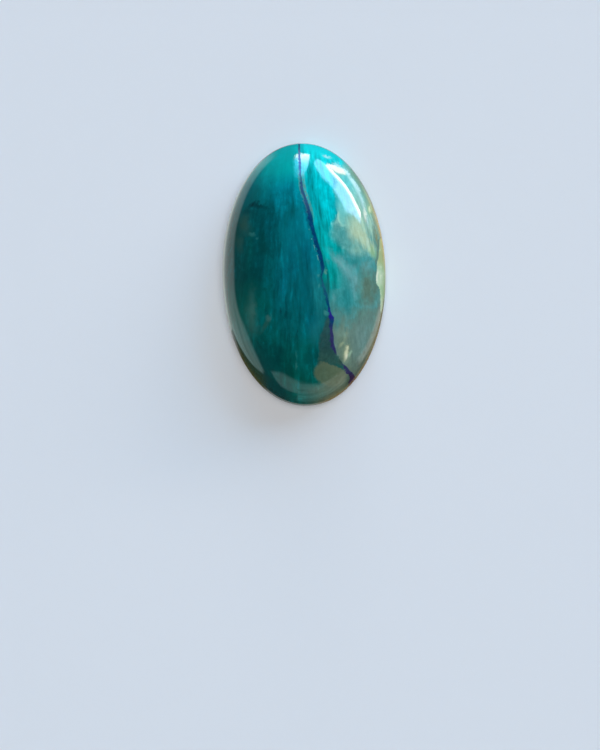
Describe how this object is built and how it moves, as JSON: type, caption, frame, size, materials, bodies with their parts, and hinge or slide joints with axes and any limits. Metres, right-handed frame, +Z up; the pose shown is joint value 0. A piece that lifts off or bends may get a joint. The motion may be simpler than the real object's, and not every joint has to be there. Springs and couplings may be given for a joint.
{
  "type": "shattuckite cabochon",
  "caption": "Polished oval cabochon of blue-green shattuckite with a dark blue vein, a domed top and a flat back to rest on or to set.",
  "frame": {"origin": "middle of the flat back, which is the face the stone rests on", "axes": "+Z up through the crown of the dome, +Y along the oval towards the end where the dark vein starts near the middle, +X across the oval towards the pale side"},
  "size_m": [0.021, 0.034, 0.0072],
  "materials": {
    "stone": "polished"
  },
  "bodies": {
    "root": {"cabochon": "stone"}
  },
  "joints": []
}
